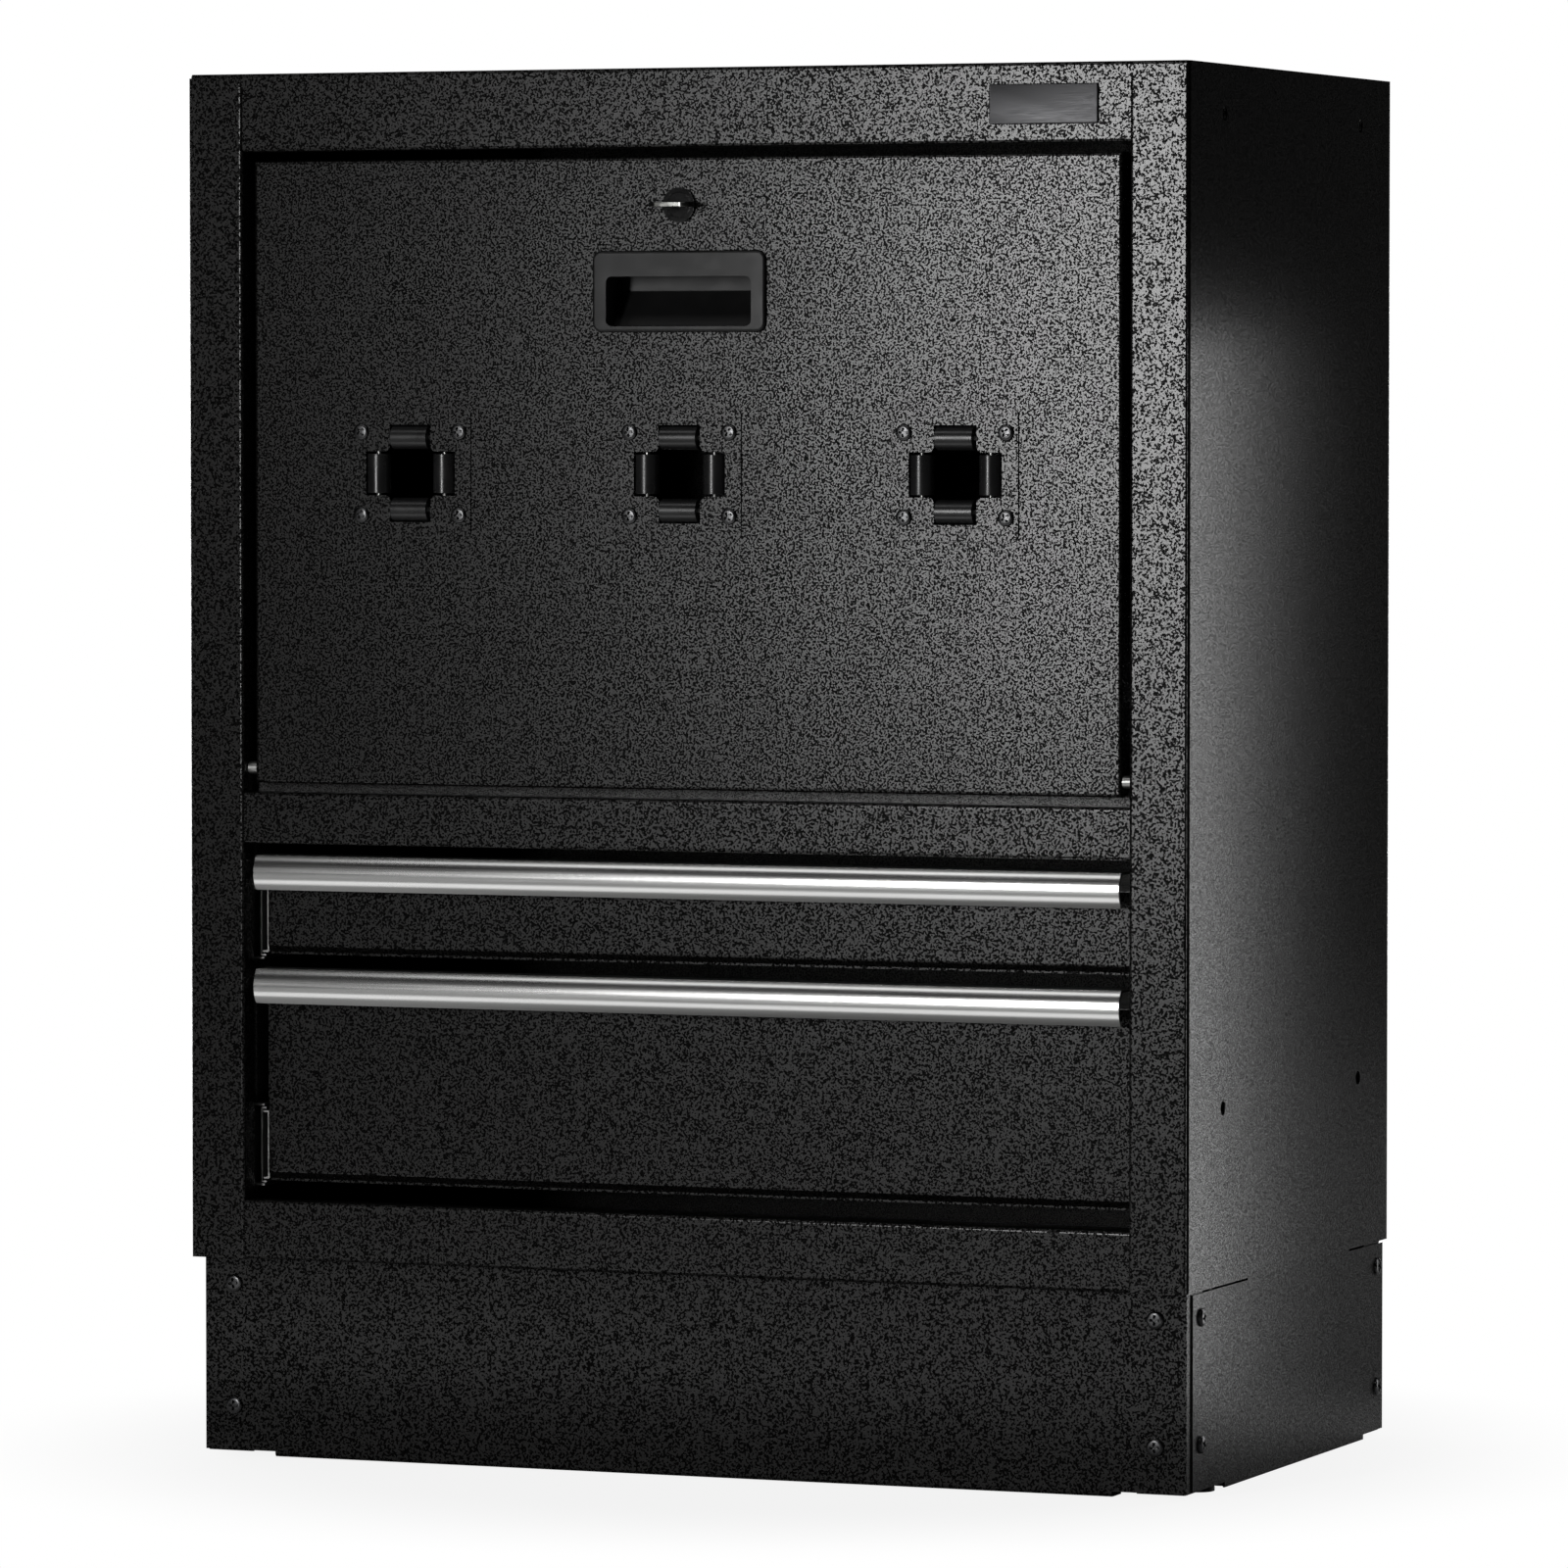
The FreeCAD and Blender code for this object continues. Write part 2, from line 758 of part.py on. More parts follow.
def door_pivot_pin():
    """A shouldered pin pressed into the door's right flange. Its tip turns in the stile's return."""
    inside = door_half - sheet
    shoulder = stile_inner - free_fit - inside
    tip = stile_inner + 2 * sheet + pivot_tip - inside
    profile = [(0, 0), (pivot_radius, 0), (pivot_radius, sheet), (pivot_collar_radius, sheet),
               (pivot_collar_radius, shoulder), (pivot_radius, shoulder), (pivot_radius, tip), (0, tip)]
    return turned(profile, vector(inside, pivot_y, pivot_z), vector(1, 0, 0))


# Roller hose guides


def cross(x, arm_half, reach, inner_radius, span):
    """A cross-shaped cutter for the window round four rollers."""
    z = guide_z
    points = [(x - arm_half, z - reach), (x + arm_half, z - reach), (x + arm_half, z - arm_half),
              (x + reach, z - arm_half), (x + reach, z + arm_half), (x + arm_half, z + arm_half),
              (x + arm_half, z + reach), (x - arm_half, z + reach), (x - arm_half, z + arm_half),
              (x - reach, z + arm_half), (x - reach, z - arm_half), (x - arm_half, z - arm_half)]
    return prism(points, [0.0, 0.0, inner_radius] * 4, "y", *span)


def guide_screw_places(x):
    return [(x + a * guide_screw_across, guide_z + b * guide_screw_up) for a in (-1, 1) for b in (-1, 1)]


def roller_places(x):
    """The four rollers of a guide: name ending, centre, and the unit vector along the axle."""
    off = roller_offset
    return [("top", vector(x, roller_y, guide_z + off), vector(1, 0, 0)),
            ("bottom", vector(x, roller_y, guide_z - off), vector(1, 0, 0)),
            ("left", vector(x - off, roller_y, guide_z), vector(0, 0, 1)),
            ("right", vector(x + off, roller_y, guide_z), vector(0, 0, 1))]


def guide_frame(x):
    """A guide plate. Two ears folded back from each arm of its window hold a roller's axle."""
    plate = rounded_plate(x, guide_z, guide_plate, guide_plate, guide_plate_radius, guide_face, door_face)
    plate = plate.cut(cross(x, guide_arm / 2, guide_opening / 2, window_corner_radius,
                            (guide_face - over, door_face + over)))
    arm, tall = guide_arm / 2, ear_length / 2
    ears = []
    for _, centre, axle in roller_places(x):
        for sign in (-1, 1):
            low, high = sorted((sign * arm, sign * (arm + ear_sheet)))
            y0, y1 = door_face, door_face + ear_depth
            if axle.x:
                ears.append(ear(low + centre.x, high + centre.x, centre.z - tall, centre.z + tall, y0, y1))
            else:
                ears.append(ear(centre.x - tall, centre.x + tall, low + centre.z, high + centre.z, y0, y1))
    plate = plate.fuse(ears)
    for _, centre, axle in roller_places(x):
        reach = axle * (arm + ear_sheet + over)
        hole = flat_rod(roller_pin_radius + press_fit, ear_hole_sides, centre - reach, centre + reach)
        plate = plate.cut(hole)
    for sx, sz in guide_screw_places(x):
        plate = plate.cut(screw_hole(vector(sx, guide_face, sz), vector(0, -1, 0)))
    return plate.removeSplitter()


def ear(x0, x1, z0, z1, y0, y1):
    """A flat ear behind the plate, its two free corners cut off."""
    body = block(x0, x1, y0, y1, z0, z1)
    thin = "x" if x1 - x0 < z1 - z0 else "z"
    corners = edges_at(body, lambda c, e: abs(c.y - y1) < 1e-3 and along(e, thin))
    return body.makeChamfer(ear_corner, corners)


def roller(centre, axle):
    bore = roller_pin_radius + running_fit
    half = axle * (roller_length / 2)
    barrel = rod(roller_radius, centre - half, centre + half)
    return barrel.cut(rod(bore, centre - half * 2, centre + half * 2))


def roller_pin(centre, axle):
    reach = guide_arm / 2 + ear_sheet + pin_reach
    return rod(roller_pin_radius, centre - axle * reach, centre + axle * reach)


# Flush pull


def flush_body_width():
    return flush_opening_width + 2 * flush_wall


def flush_body_span():
    """Lowest and highest reach of the pocket behind the door, from the pull's middle."""
    return -flush_opening_low - flush_wall, flush_room + flush_wall


def flush_pull():
    """A moulded flush pull: a bevelled flange, and a pocket with finger room behind its upper border."""
    flange_front = door_face - flush_thickness
    flange = rounded_plate(0, flush_z, flush_width, flush_height, flush_corner, flange_front, door_face)
    rim = edges_at(flange, lambda c, e: abs(c.y - flange_front) < 1e-3)
    flange = flange.makeFillet(flush_bevel, rim)
    low, high = flush_body_span()
    half = flush_body_width() / 2
    inner_floor = flange_front + flush_floor
    inner_back = flange_front + flush_depth
    wall = flush_wall
    outer_points = [(door_face, flush_z + low), (inner_floor + wall / 2, flush_z + low),
                    (inner_back + wall, flush_z + flush_knee - wall / 2), (inner_back + wall, flush_z + high),
                    (door_face, flush_z + high)]
    round_back = [0, flush_back_radius, flush_back_radius, flush_back_radius, 0]
    body = prism(outer_points, round_back, "x", -half, half)
    shape = flange.fuse(body)
    border = door_face + wall / 2
    middle = flush_z + (flush_opening_high - flush_opening_low) / 2
    mouth = rounded_plate(0, middle, flush_opening_width, flush_opening_high + flush_opening_low,
                          flush_opening_radius, flange_front - over, border + press_fit)
    inner_points = [(border, flush_z - flush_opening_low), (inner_floor, flush_z - flush_opening_low),
                    (inner_back, flush_z + flush_knee), (inner_back, flush_z + flush_room),
                    (border, flush_z + flush_room)]
    round_pocket = [0, flush_pocket_radius, flush_pocket_radius, flush_pocket_radius, flush_pocket_radius / 2]
    pocket = prism(inner_points, round_pocket, "x", -flush_opening_width / 2, flush_opening_width / 2)
    return shape.cut(mouth).cut(pocket)


# Lock


def lock_housing():
    """A flanged tube through the door."""
    bore = plug_radius + running_fit
    length = lock_body_back - door_face
    profile = [(bore, -bezel_height), (bezel_radius, -bezel_height), (bezel_radius, 0), (lock_body_radius, 0),
               (lock_body_radius, length), (bore, length)]
    return turned(profile, vector(0, door_face, lock_z), vector(0, 1, 0))


def lock_nut():
    bore = lock_body_radius + screw_fit
    seat = vector(0, door_face + sheet, lock_z)
    return hexagon(lock_nut_across, lock_nut_height, seat, vector(0, 1, 0), bore)


def lock_plug():
    """The turning barrel, with a keyway in front and a square for the cam behind."""
    plug_front = door_face - bezel_height + plug_recess
    plug_back = cam_front - plug_end_gap
    barrel = rod(plug_radius, vector(0, plug_front, lock_z), vector(0, plug_back, lock_z))
    half = cam_square / 2
    square = block(-half, half, plug_back, cam_front + cam_thickness, lock_z - half, lock_z + half)
    barrel = barrel.fuse(square)
    wide = key_blade_width / 2 + running_fit * 2
    tall = key_blade_thickness / 2 + running_fit * 2
    deep = plug_front + key_blade_length + over
    return barrel.cut(block(-wide, wide, plug_front - over, deep, lock_z - tall, lock_z + tall))


def lock_cam():
    """The cam in its unlocked place, level to the right, and the screw that holds it on its square."""
    half = cam_width / 2
    cam_back = cam_front + cam_thickness
    corners = [(-half, lock_z - half), (cam_length, lock_z - half), (cam_length, lock_z + half),
               (-half, lock_z + half)]
    round_end = half * 0.95
    cam = prism(corners, [round_end, cam_tip_radius, cam_tip_radius, round_end], "y", cam_front, cam_back)
    hole = cam_square / 2 + running_fit
    cam = cam.cut(block(-hole, hole, cam_front - over, cam_back + over, lock_z - hole, lock_z + hole))
    head = flat_rod(cam_screw_across / 2, 6, vector(0, cam_back, lock_z),
                    vector(0, cam_back + cam_screw_height, lock_z))
    return Part.makeCompound([cam, head])


def key():
    """A flat key in the lock, its bow level."""
    plug_front = door_face - bezel_height + plug_recess
    tip = front - key_reach
    wide = key_bow_width / 2
    neck = key_neck / 2
    neck_front = plug_front - key_neck_reach
    shoulder = neck_front - key_shoulder
    neck_start = shoulder + key_shoulder_slope
    bow_points = [(-wide, tip), (wide, tip), (wide, shoulder), (neck, neck_start), (neck, plug_front),
                  (-neck, plug_front), (-neck, neck_start), (-wide, shoulder)]
    radii = [key_bow_radius, key_bow_radius, key_bow_radius / 2, 0, 0, 0, 0, key_bow_radius / 2]
    bow_half = key_bow_thickness / 2
    bow = prism(bow_points, radii, "z", lock_z - bow_half, lock_z + bow_half)
    ring_y = tip + key_ring_inset
    bow = bow.cut(rod(key_ring_radius, vector(0, ring_y, lock_z - key_bow_thickness),
                      vector(0, ring_y, lock_z + key_bow_thickness)))
    blade_half = key_blade_width / 2
    blade_tip = plug_front + key_blade_length
    blade_start = plug_front - over
    blade_points = [(-blade_half, blade_start), (blade_half, blade_start), (blade_half, blade_tip),
                    (-blade_half, blade_tip)]
    blade = prism(blade_points, [0, 0, key_tip_radius, key_tip_radius], "z", lock_z - key_blade_thickness / 2,
                  lock_z + key_blade_thickness / 2)
    return bow.fuse(blade).removeSplitter()


# Drawers


def drawer_front(low, top):
    """A drawer's front skin. Its lower edge steps back in a chamfer to a short lip."""
    face_low = low + front_lip + front_chamfer
    high = top - front_top_room
    path = [(box_front, high), (drawer_face, high), (drawer_face, face_low),
            (drawer_face + front_chamfer, low + front_lip), (drawer_face + front_chamfer, low)]
    skin = folded(path, sheet, 1, "x", -box_half, box_half, sheet / 2)
    side = block(box_half - sheet, box_half, drawer_face + sheet / 2, box_front, face_low + 1, high - sheet)
    return skin.fuse([side, mirrored(side)]).removeSplitter()


def drawer_box(low, top):
    """A folded tray with hemmed side walls."""
    z0 = low + box_rise
    z1 = top - box_headroom
    end = slide_end
    box = block(-box_half, box_half, box_front, end, z0, z1)
    box = box.makeFillet(bend + sheet, edges_at(box, lambda c, e: abs(c.z - z0) < 1e-3))
    inner = box_half - sheet
    box = box.cut(block(-inner, inner, box_front + sheet, end - sheet, z0 + sheet, z1 + over))
    hem = block(inner - sheet - hem_gap, inner, box_front + hem_end_room, end - hem_end_room,
                z1 - hem_height, z1)
    return box.fuse([hem, mirrored(hem)]).removeSplitter()


def drawer_pull(top):
    """A full-width aluminium extrusion: a curved grip, a flat top and a leg on the drawer's front."""
    edge_y = front + pull_edge_setback
    bulge_y = front
    middle = top - pull_height / 2
    low = top - pull_height
    leg_front = drawer_face - pull_wall
    inner_edge = edge_y + pull_wall

    def at(y, z):
        return vector(-pull_half(), y, z)

    def line(a, b):
        return Part.LineSegment(at(*a), at(*b)).toShape()

    tip = (edge_y - pull_tip_lean, low)
    inner_tip = (inner_edge - pull_tip_trim, low + pull_tip_trim)
    outer_arc = Part.Arc(at(edge_y, top), at(bulge_y, middle), at(*tip)).toShape()
    inner_middle = at(bulge_y + pull_wall, middle)
    inner_arc = Part.Arc(at(*inner_tip), inner_middle, at(inner_edge, top - pull_wall)).toShape()
    edges = [line((drawer_face, top), (edge_y, top)), outer_arc, line(tip, inner_tip), inner_arc,
             line((inner_edge, top - pull_wall), (leg_front, top - pull_wall)),
             line((leg_front, top - pull_wall), (leg_front, top - pull_leg)),
             line((leg_front, top - pull_leg), (drawer_face, top - pull_leg)),
             line((drawer_face, top - pull_leg), (drawer_face, top))]
    return Part.Face(Part.Wire(edges)).extrude(vector(2 * pull_half(), 0, 0))


def pull_half():
    return stile_inner - pull_side_gap


# Telescopic slides


def slide_level(low):
    return low + slide_rise


def channel(outer_x, half, lip, thickness, side, low, start, end):
    """A slide channel of the right side: a web at outer_x, and a lip at its top and bottom."""
    z = slide_level(low)
    tip = outer_x - side * lip
    path = [(tip, z + half), (outer_x, z + half), (outer_x, z - half), (tip, z - half)]
    return folded(path, thickness, -side, "y", start, end, 0.0)


def cabinet_member(low):
    """The fixed channel, open towards the drawer."""
    return channel(slide_outer, slide_half_height, cabinet_member_lip, sheet, 1, low, slide_start, slide_end)


def middle_member(low):
    """The channel between the fixed one and the drawer's. It travels half as far as the drawer."""
    web = box_half + drawer_member_lip + free_fit + middle_member_sheet
    return channel(web, middle_member_half, middle_member_lip, middle_member_sheet, 1, low,
                   slide_start + middle_start, slide_end - middle_rear_room)


def drawer_member(low):
    """The channel riveted to the right side of the drawer."""
    start = drawer_face + sheet
    return channel(box_half, drawer_member_half, drawer_member_lip, sheet, -1, low, start,
                   start + slide_length - member_rear_room)


def slide_post(y0):
    """An upright channel on the right side panel that carries both slides."""
    inner = slide_outer + heavy_sheet
    y1 = y0 + slide_post_width
    path = [(side_inner, y0 - slide_post_flange), (side_inner, y0), (inner, y0), (inner, y1),
            (side_inner, y1), (side_inner, y1 + slide_post_flange)]
    low = plinth_height + tray_flange + free_fit
    return folded(path, heavy_sheet, 1, "z", low, mid_rail_low, 0.0)


# All pieces, each under its own name


def both_sides(shape):
    return {"_right": shape, "_left": mirrored(shape)}


def case_nodes():
    nodes = {
        "top_panel": top_panel(),
        "back_panel": back_panel(),
        "cabinet_floor": cabinet_floor(),
        "reel_shelf": reel_shelf(),
        "top_rail": top_rail(),
        "mid_rail": mid_rail(),
        "bottom_rail": bottom_rail(),
        "name_plate": name_plate(),
        "kick_front": kick_front(),
        "kick_rear": kick_rear(),
    }
    for stem, shape in (("side_panel", side_panel()), ("stile", stile()), ("kick", kick_side())):
        for ending, piece in both_sides(shape).items():
            nodes[stem + ending] = piece
    nodes["joining_nuts"] = Part.makeCompound([pair(nut) for nut in join_nuts()])
    nodes["supply_grommets"] = Part.makeCompound([port_grommet(x) for x in guide_places()])
    nodes["plinth_posts"] = Part.makeCompound([pair(plinth_post(True)), pair(plinth_post(False))])
    nodes["kick_screws"] = Part.makeCompound(
        [screw(seat, outward, kick_screw_head_radius) for seat, outward in kick_screw_seats()])
    nodes["leg_sockets"] = Part.makeCompound([leg_socket(x, y) for _, x, y in leg_places()])
    for ending, x, y in leg_places():
        nodes["foot_" + ending] = levelling_foot(x, y)
    return nodes


def door_nodes():
    nodes = {
        "door_panel": door_panel(),
        "door_pins": pair(door_pivot_pin()),
        "flush_pull": flush_pull(),
        "lock_housing": lock_housing(),
        "lock_nut": lock_nut(),
        "lock_plug": lock_plug(),
        "lock_cam": lock_cam(),
        "key": key(),
    }
    screws = []
    pins = []
    for side, x in zip(("left", "centre", "right"), guide_places()):
        for sx, sz in guide_screw_places(x):
            screws.append(screw(vector(sx, guide_face, sz), vector(0, -1, 0), guide_screw_head_radius))
        for ending, centre, axle in roller_places(x):
            nodes["roller_" + side + "_" + ending] = roller(centre, axle)
            pins.append(roller_pin(centre, axle))
    nodes["guide_plates"] = Part.makeCompound([guide_frame(x) for x in guide_places()])
    nodes["guide_screws"] = Part.makeCompound(screws)
    nodes["roller_pins"] = Part.makeCompound(pins)
    return nodes


def drawer_nodes():
    nodes = {}
    fixed = []
    upper = ("upper", upper_front_low, upper_pull_top)
    lower = ("lower", lower_front_low, lower_pull_top)
    for name, low, top in (upper, lower):
        nodes[name + "_drawer_front"] = drawer_front(low, top)
        nodes[name + "_drawer_box"] = drawer_box(low, top)
        nodes[name + "_drawer_pull"] = drawer_pull(top)
        nodes[name + "_slide_middles"] = pair(middle_member(low))
        nodes[name + "_slide_members"] = pair(drawer_member(low))
        fixed.append(pair(cabinet_member(low)))
    nodes["slide_cabinet_members"] = Part.makeCompound(fixed)
    posts = [pair(slide_post(front + slide_post_front)), pair(slide_post(slide_end - slide_post_overlap))]
    nodes["slide_posts"] = Part.makeCompound(posts)
    return nodes


os.makedirs("parts", exist_ok=True)
all_nodes = {**case_nodes(), **door_nodes(), **drawer_nodes()}
for node, shape in all_nodes.items():
    shape.exportStep("parts/" + node + ".step")
    bad = [s for s in shape.Solids if not s.isValid() or s.Volume <= 0]
    state = "BAD" if bad or not shape.Solids else ""
    print(node, len(shape.Solids), "solids", round(shape.Volume), "mm3", state)
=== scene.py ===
import json
import math
import bmesh
import bpy
from mathutils import Matrix, Vector


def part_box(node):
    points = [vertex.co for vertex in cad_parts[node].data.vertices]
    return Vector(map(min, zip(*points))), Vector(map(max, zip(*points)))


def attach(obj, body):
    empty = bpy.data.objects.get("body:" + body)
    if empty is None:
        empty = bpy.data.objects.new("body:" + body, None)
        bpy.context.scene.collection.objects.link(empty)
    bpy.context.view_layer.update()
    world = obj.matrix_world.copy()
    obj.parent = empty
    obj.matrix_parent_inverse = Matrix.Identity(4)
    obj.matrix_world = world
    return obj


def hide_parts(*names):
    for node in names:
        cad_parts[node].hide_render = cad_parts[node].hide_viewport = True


# A black steel hose reel cabinet in a plain white studio. Metres, in the CAD frame.

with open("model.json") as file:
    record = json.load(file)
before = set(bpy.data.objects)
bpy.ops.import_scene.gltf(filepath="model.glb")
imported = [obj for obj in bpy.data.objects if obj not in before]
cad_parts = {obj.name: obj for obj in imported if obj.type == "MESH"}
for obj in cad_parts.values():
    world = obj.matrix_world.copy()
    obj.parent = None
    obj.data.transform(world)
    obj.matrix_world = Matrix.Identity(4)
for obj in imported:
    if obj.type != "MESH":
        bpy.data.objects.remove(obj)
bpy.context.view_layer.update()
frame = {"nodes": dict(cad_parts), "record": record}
nodes = frame["nodes"]
slot_of = {part["node"]: part["material_slot"] for part in frame["record"]["subparts"]}
body_of_node = {node: body for body, members in frame["record"]["behaviour"]["bodies"].items() for node in members}

# Camera: off the front right corner of the case, turned to the left and tipped a little down. The lens and sensor
# are in millimetres.
CAMERA_FROM_CORNER = Vector((1.810, -5.194))
CAMERA_HEIGHT = 0.683
CAMERA_TURN = math.radians(21.8)
CAMERA_TILT = math.radians(-2.46)
CAMERA_LENS = 204.5
CAMERA_SENSOR = 36
CAMERA_REACH = 60

# Colours
BLACK = (0.0048, 0.0046, 0.0044)
SIDE_BLACK = (0.0085, 0.0082, 0.0079)
# Painted light: the same black paint made lighter for pieces inside and behind, which the lamps barely reach
INSIDE_PAINTED_LIGHT_BLACK = (0.024, 0.0235, 0.023)
LOCK_BLACK = (0.004, 0.004, 0.0043)
PLASTIC_BLACK = (0.006, 0.006, 0.0062)
ROLLER_BLACK = (0.012, 0.012, 0.0123)
RUBBER_BLACK = (0.016, 0.016, 0.016)
SCREW_STEEL = (0.10, 0.10, 0.102)
ALUMINIUM = (0.80, 0.80, 0.79)
ZINC = (0.46, 0.46, 0.45)
KEY_STEEL = (0.22, 0.22, 0.21)
PLATE_GREY = (0.045, 0.045, 0.047)

# Grain of the paint. Its cells and its patches are sized in grains, and its hills rise between two noise heights.
# Under the coat the paint is duller than the coat by a little, more in some patches than in others.
GRAIN = 0.0013
FINE_GRAIN = 0.0007
GRAIN_BUMP = 0.9
CELL_SIZE = 1.4
CELL_SHARE = 0.35
CELL_SOFTNESS = 0.6
PATCH_SIZE = 90
HILL_FOOT = 0.61
HILL_TOP = 0.71
# Painted light and shade of the grain: the colour is made lighter on the hills and darker in the valleys
HILL_PAINTED_LIGHT = 1.6
VALLEY_PAINTED_SHADE = 0.4
VALLEY_SHINE = 0.03
LEAST_DULLER = 0.05
MOST_DULLER = 0.08

# The part of its range that a plain noise, and a cloudy one, mostly fills
NOISE_SPREAD = (0.3, 0.7)
CLOUD_SPREAD = (0.35, 0.65)

# Pieces that mostly show inside or from behind. Their paint is the same black made lighter, painted light, so that
# they can be read in the dim inside.
INSIDE_PIECES = ("back_panel", "reel_shelf", "cabinet_floor", "kick_rear", "plinth_posts", "slide_posts",
                 "upper_drawer_box", "lower_drawer_box")

# Width of the broken edges on folded, moulded and turned pieces
SOFT_EDGES = {
    "guide_plates": 0.0011,
    "name_plate": 0.0003,
    "flush_pull": 0.0005,
    "lock_housing": 0.0002,
    "lock_plug": 0.0002,
    "key": 0.0004,
    "upper_drawer_pull": 0.0003,
    "lower_drawer_pull": 0.0003,
    "supply_grommets": 0.0003,
}
ROLLER_EDGE = 0.0003
FOOT_EDGE = 0.0004
EDGE_STEPS = 2
SHARP_ANGLE = math.radians(32)
FLAT_ANGLE = math.radians(0.5)
MERGE_DISTANCE = 1e-6

# Screw heads. The rise and the recess are in head radii, and the rim is a share of the rise.
HEAD_HEIGHT = 0.0024
HEAD_RADIUS = 0.0055
HEAD_RISE = HEAD_HEIGHT / HEAD_RADIUS
RIM_SHARE = 0.28
DOME_STEPS = 6
DOME_FLATNESS = 0.35
RECESS_WIDTH = 0.34
RECESS_REACH = 0.66
RECESS_DEPTH = 0.34
RECESS_END_TAPER = 0.45
RECESS_SIDE_TAPER = 0.7
RECESS_OVERRUN = 0.1
SCREW_SEGMENTS = 32
SCREW_SEED = 7

# Lamps: the place of each, the point it faces, its width and height, and its watts
LAMPS = {
    "front sheen": ((-0.67, -3.1, 0.9), (0.3, 0, 0.7), 0.3, 1.0, 27),
    "left fill": ((-2.4, 1.1, 0.45), (-0.34, 0, 0.45), 1.6, 0.8, 45),
    "back fill": ((-1.0, 3.0, 0.45), (0, 0.2, 0.45), 2.0, 0.8, 55),
    "overhead": ((0.0, -1.3, 2.6), (0, -0.1, 0.5), 2.6, 0.6, 6),
    "floor bounce": ((0.0, -0.62, 0.02), (0.0, -0.62, 1.0), 1.2, 0.3, 0.9),
    "side strip": ((0.60, 0.35, 0.33), (0.34, -0.12, 0.29), 0.14, 0.8, 1.0),
}

# Surround and floor
WHITE = (1, 1, 1, 1)
WHITE_STRENGTH = 1.0
DIM_IN_FRONT = 0.01
DIM_BEHIND = 0.02
FLOOR_REACH = 12
FLOOR_STRETCH = (1.1, 1.1, 1)
FLOOR_LIT = (0.6, 0.6, 0.6)
FLOOR_SEEN = (0.8, 0.8, 0.8)
FLOOR_FADE = (0.35, 0.65)
FLOOR_WHITE_FAR = 1.0
FLOOR_WHITE_NEAR = 0.87


class Value:
    """A socket of a material, with arithmetic that adds Math nodes."""

    def __init__(self, finish, socket):
        self.finish = finish
        self.socket = socket

    def math(self, operation, other):
        return self.finish.node("ShaderNodeMath", {"operation": operation}, {0: self, 1: other})

    def __add__(self, other):
        return self.math("ADD", other)

    def __mul__(self, other):
        return self.math("MULTIPLY", other)

    __radd__ = __add__
    __rmul__ = __mul__


class Finish:
    """The nodes of a material or of the surround, with one method that adds any node."""

    def __init__(self, owner):
        self.owner = owner
        owner.use_nodes = True
        self.tree = owner.node_tree
        self.tree.nodes.clear()

    def node(self, kind, settings, inputs, output=0):
        made = self.tree.nodes.new(kind)
        for name, setting in settings.items():
            setattr(made, name, setting)
        for name, value in inputs.items():
            if isinstance(value, Value):
                self.tree.links.new(value.socket, made.inputs[name])
            else:
                made.inputs[name].default_value = value
        return Value(self, made.outputs[output]) if made.outputs else None

    def place(self, stretch=(1, 1, 1)):
        """Where a point lies in the CAD frame. A small number stretches a pattern along that axis."""
        where = self.node("ShaderNodeTexCoord", {}, {}, "Object")
        return self.node("ShaderNodeMapping", {}, {"Vector": where, "Scale": stretch})

    def noise(self, where, size, detail=2.0, rough=0.5):
        return self.node("ShaderNodeTexNoise", {},
                         {"Vector": where, "Scale": 1 / size, "Detail": detail, "Roughness": rough}, "Fac")

    def cells(self, where, size):
        """Distances to the middles of soft cells."""
        return self.node("ShaderNodeTexVoronoi", {"feature": "SMOOTH_F1"},
                         {"Vector": where, "Scale": 1 / size, "Smoothness": CELL_SOFTNESS}, "Distance")

    def blend(self, mask, first, second):
        return self.node("ShaderNodeMix", {"data_type": "RGBA"}, {0: mask, 6: (*first, 1), 7: (*second, 1)}, 2)

    def remap(self, value, low, high, to_low, to_high):
        """A value taken smoothly from one range to another, and held at its ends."""
        return self.node("ShaderNodeMapRange", {"interpolation_type": "SMOOTHSTEP"},
                         {0: value, 1: low, 2: high, 3: to_low, 4: to_high})

    def bump(self, height, strength, distance):
        return self.node("ShaderNodeBump", {}, {"Height": height, "Strength": strength, "Distance": distance})

    def shade(self, **inputs):
        """The material, with its shader's sockets set by their names in small letters."""
        names = {name.replace("_", " ").title().replace("Ior", "IOR"): value for name, value in inputs.items()}
        surface = self.node("ShaderNodeBsdfPrincipled", {}, names, "BSDF")
        self.node("ShaderNodeOutputMaterial", {}, {"Surface": surface})
        return self.owner


def new_finish(name):
    return Finish(bpy.data.materials.new(name))


def shaded(colour, amount):
    return tuple(channel * amount for channel in colour)


def add_object(name, data):
    made = bpy.data.objects.new(name, data)
    bpy.context.scene.collection.objects.link(made)
    return made


# Finishes of the cabinet


def grained_paint(name, colour, grain, depth, rough):
    """Powder paint with a wrinkled, leather-like grain: its hills shine and its valleys stay dull. Its colour is
    lighter on the hills and darker in the valleys, painted light and painted shade of the wrinkles.
    """
    finish = new_finish(name)
    where = finish.place()
    hills = finish.noise(where, grain, detail=1.0, rough=0.4) + finish.cells(where, grain * CELL_SIZE) * CELL_SHARE
    raised = finish.remap(hills, HILL_FOOT, HILL_TOP, 0.0, 1.0)
    patches = finish.noise(where, grain * PATCH_SIZE)
    return finish.shade(
        # Painted light and shade: lighter colour on the hills, darker colour in the valleys
        base_color=finish.blend(raised, shaded(colour, VALLEY_PAINTED_SHADE), shaded(colour, HILL_PAINTED_LIGHT)),
        roughness=finish.remap(patches, *NOISE_SPREAD, rough + LEAST_DULLER, rough + MOST_DULLER),
        specular_ior_level=VALLEY_SHINE,
        coat_weight=raised,
        coat_roughness=rough,
        normal=finish.bump(hills, strength=GRAIN_BUMP, distance=depth),
    )


